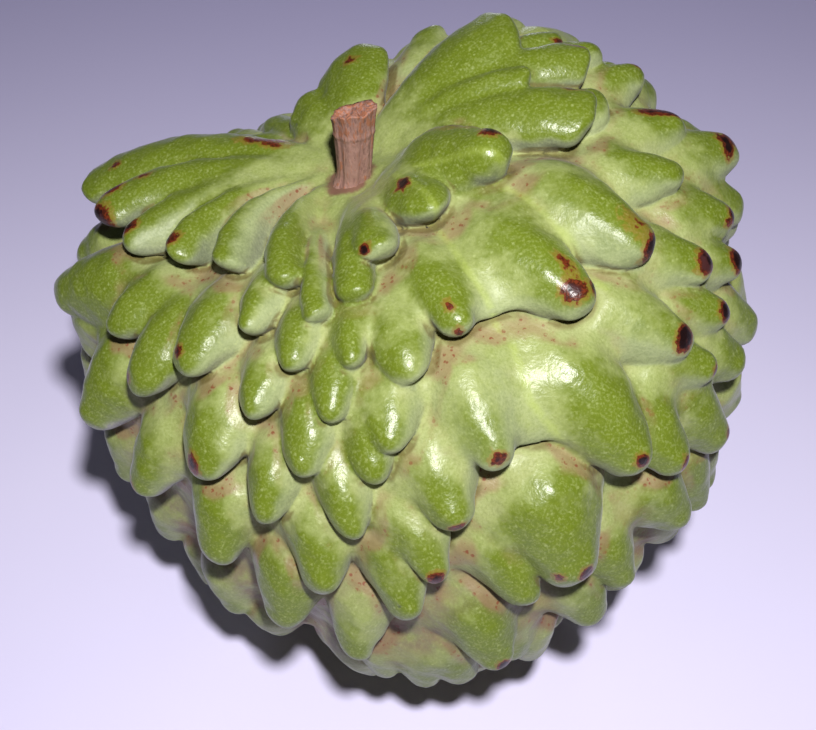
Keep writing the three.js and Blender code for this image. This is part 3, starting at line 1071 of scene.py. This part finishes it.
def paint_green_and_bloom(n):
    deep = n.mix(n.mottle, rgb(80, 96, 10), rgb(98, 112, 24))
    n.paint(n.green, deep, 0.9)
    # The bloom is greyer and darker where the skin turns away from the outside: its own duller tone there,
    # with painted shade.
    dusty = n.mix(n.step(n.facing, 0.5, 0.0), rgb(143, 152, 114), rgb(120, 124, 110))
    n.paint(n.bloom, dusty, 0.68)


def paint_lip_bloom_and_sheen(n):
    """Lilac grey on the lower scales, where the skin turns under: the bloom's own tint, with a painted
    sheen.
    """
    lip_sheen = n.times(n.step(n.facing, 0.44, 0.12), n.step_along("Z", SHEEN_LIP_PART))
    lip_sheen = n.times(lip_sheen, n.step(n.open_far, 0.2, 0.6))
    n.paint(lip_sheen, rgb(142, 138, 142), 0.75)


def paint_grain(n):
    """Fine grain all over, and fine pale specks."""
    n.paint(n.step(n.grain, 0.48, 0.66), rgb(166, 174, 128), 0.16)
    n.paint(n.step(n.grain, 0.5, 0.34), rgb(74, 88, 30), 0.16)
    speck = n.times(n.step(n.cells(1.0), 0.3, 0.12), n.step(n.mottle, 0.44, 0.56))
    n.paint(speck, rgb(164, 174, 118), 0.3)


def paint_valleys(n):
    """Pinkish brown stain and reddish flecks low down between the scales."""
    valley = n.times(n.step(n.open_far, 0.98, 0.6), n.step(n.along, 0.7, 0.3))
    patches = n.plus(n.blotch, n.times(n.under, 0.15))
    stain = n.times(valley, n.step(patches, 0.4, 0.56))
    low_skin = n.times(n.step(n.rise, 4.8, 2.0), n.under)
    dusty = n.mix(n.mottle, rgb(96, 88, 70), rgb(124, 112, 92))
    n.paint(n.times(low_skin, n.step(n.cloud, 0.25, 0.65)), dusty)
    pinkish = n.mix(n.under, rgb(132, 108, 82), rgb(116, 86, 70))
    n.paint(stain, pinkish, 0.7)
    fleck = n.times(n.step(n.cells(0.9), 0.42, 0.24), n.step(n.mottle, 0.48, 0.56))
    n.paint(n.times(fleck, stain), rgb(112, 52, 36), 0.8)


def paint_seams_and_crease_shade(n):
    """Yellowish seams, and painted shade: thin dark brown in the crease where a scale meets the next."""
    n.paint(n.step(n.attribute("seam"), 0.9, 0.1), rgb(160, 176, 84), 0.3)
    # Painted shade, dark brown, in the narrow creases under and between the scales.
    crease_shade = n.times(n.step(n.open_near, 0.6, 0.2), n.step(n.mottle, 0.15, 0.5))
    n.paint(crease_shade, rgb(90, 78, 36), 0.7)


def paint_bark_foot(n):
    """Bark-coloured skin round the foot of the stalk."""
    foot = n.plus(n.attribute("stalk_gap"), n.times(n.cloud, 3.0))
    n.paint(n.step(foot, *BARK_FOOT), rgb(112, 84, 70))


def paint_scars(n):
    """A brown halo, a red rim and a black middle."""
    ragged = n.times(n.math("SUBTRACT", n.mottle, 0.5), n.step(n.scar, 0.0, 0.15))
    ragged = n.plus(n.scar, n.times(ragged, 0.7))
    n.paint(n.step(ragged, 0.05, 0.22), rgb(124, 92, 40), 0.5)
    red = n.mix(n.step(n.grain, 0.4, 0.6), rgb(62, 30, 20), rgb(100, 46, 26))
    n.paint(n.step(ragged, 0.3, 0.38), red)
    charred = n.mix(n.step(n.cloud, 0.5, 0.62), rgb(30, 18, 18), rgb(62, 36, 36))
    n.paint(n.step(ragged, 0.58, 0.7), charred)


def skin_roughness(n):
    """Glossy where it is rubbed, dull with bloom, below and in creases."""
    crease = n.step(n.open_near, 0.95, 0.6)
    dull = n.weighed(0.36, (n.bloom, 0.0, 0.2), (n.green, 0.0, -0.04))
    return n.weighed(dull, (n.under, 0.0, 0.1), (crease, 0.0, 0.4))


def skin_relief(n):
    rough = n.bump(n.noise(0.5, 3.0, 0.6), 0.5, 0.14)
    pits = n.bump(n.cells(1.1), 0.25, 0.12, rough)
    return n.bump(n.noise(2.6), 0.4, 0.3, pits)


def skin_material():
    n = Skin()
    paint_ground(n)
    paint_green_and_bloom(n)
    paint_lip_bloom_and_sheen(n)
    paint_grain(n)
    paint_valleys(n)
    paint_seams_and_crease_shade(n)
    paint_bark_foot(n)
    paint_scars(n)
    values = {
        "Roughness": skin_roughness(n),
        "Specular IOR Level": 0.42,
        "Sheen Weight": 0.08,
        "Sheen Roughness": 0.35,
        "Sheen Tint": (0.85, 0.84, 1.0, 1.0),
        "Normal": skin_relief(n),
    }
    return n.finish(values)


def bark_material():
    n = Nodes("stalk_bark")
    groove_depth = n.attribute("groove_depth")
    upright = n.add("ShaderNodeMapping")
    upright.inputs["Scale"].default_value = (1, 1, 0.3)
    n.link(n.place, upright.inputs["Vector"])
    fleck = n.noise(0.5, 3.0, 0.6, vector=upright.outputs[0])
    worn = n.plus(fleck, n.times(n.step(n.attribute("height"), 0.66, 0.9), 0.12))
    n.base = n.mix(n.noise(1.6, 3.0), rgb(130, 96, 88), rgb(158, 122, 112))
    # Darker in the deepest grooves.
    n.paint(n.step(groove_depth, -0.6, -1.2), rgb(104, 72, 66), 0.3)
    n.paint(n.step(worn, 0.56, 0.66), rgb(148, 88, 54), 0.7)
    n.paint(n.step(fleck, 0.42, 0.34), rgb(96, 66, 60), 0.5)
    return n.finish({"Roughness": 0.8, "Normal": n.bump(fleck, 0.9, 0.3)})


def paper_material():
    n = Nodes("pale_paper")
    n.base = n.mix(n.noise(60.0), rgb(212, 206, 240), rgb(220, 214, 244))
    # Painted shade: the paper darker towards the back, where the light falls off.
    n.paint(n.step_along("Y", PAPER_SHADE_SPAN), rgb(172, 166, 208))
    return n.finish({"Roughness": 0.9, "Specular IOR Level": 0.15})


# ---- Floor, lights and camera ----
FLOOR_HALF = 1200.0
CAMERA_HEIGHT_ANGLE = 48.0  # degrees above the horizon
LENS = 64.0  # mm on a sensor SENSOR mm wide
SENSOR = 36.0
# Places from the middle of the fruit: these two back, right and up as the camera looks, the rest x, y, z.
CAMERA = (242.0, 0.83, -2.2)
FLASH = (310, 18, 52)
FILL = (-250, -60, 300)
BEHIND = (0, 620, 15)
COOL = (0.9, 0.92, 1.0)


def add_floor():
    size = FLOOR_HALF * MM
    corners = [(-size, -size, 0), (size, -size, 0), (size, size, 0), (-size, size, 0)]
    floor = mesh_object("paper", corners, [(0, 1, 2, 3)])
    floor.data.materials.append(paper_material())


def view_axes():
    """The camera's directions back, right and up, one to a row."""
    rise = math.radians(CAMERA_HEIGHT_ANGLE)
    back = [0, -math.cos(rise), math.sin(rise)]
    right = [1, 0, 0]
    return np.array([back, right, np.cross(back, right)])


def add_camera():
    camera = bpy.data.cameras.new("camera")
    camera.lens = LENS
    camera.sensor_width = SENSOR
    camera.clip_start = 0.01
    piece = put("camera", camera)
    piece.location = Vector((CENTRE + CAMERA @ view_axes()) * MM)
    piece.rotation_euler = (math.radians(90 - CAMERA_HEIGHT_ANGLE), 0, 0)
    bpy.context.scene.camera = piece


def add_light(name, offset, size, power, tone, glossy=True):
    """A soft disk of light, offset from the middle of the fruit and aimed at it."""
    light = bpy.data.lights.new(name, "AREA")
    light.shape = "DISK"
    light.size = size * MM
    light.energy = power
    light.color = tone
    piece = put(name, light)
    piece.visible_glossy = glossy
    piece.location = Vector((CENTRE + np.array(offset)) * MM)
    piece.rotation_euler = Vector(-np.array(offset, float)).to_track_quat("-Z", "Y").to_euler()


def add_lights():
    add_light("key", FLASH @ view_axes(), 20, 1.53, (1.0, 0.99, 0.97))
    add_light("fill", FILL, 260, 0.014, (0.86, 0.88, 1.0))
    add_light("rear", BEHIND, 120, 0.16, COOL)
    add_light("rear_soft", BEHIND, 120, 1.0, COOL, glossy=False)
    world = bpy.data.worlds.new("room")
    world.use_nodes = True
    background = world.node_tree.nodes["Background"]
    background.inputs["Color"].default_value = (0.7, 0.7, 0.9, 1)
    background.inputs["Strength"].default_value = 0.025
    bpy.context.scene.world = world


def main():
    bpy.context.scene.view_settings.view_transform = "Standard"
    add_floor()
    add_lights()
    add_camera()
    fruit = make_fruit()
    fruit.data.materials.append(skin_material())
    stalk = make_stalk()
    stalk.data.materials.append(bark_material())


main()
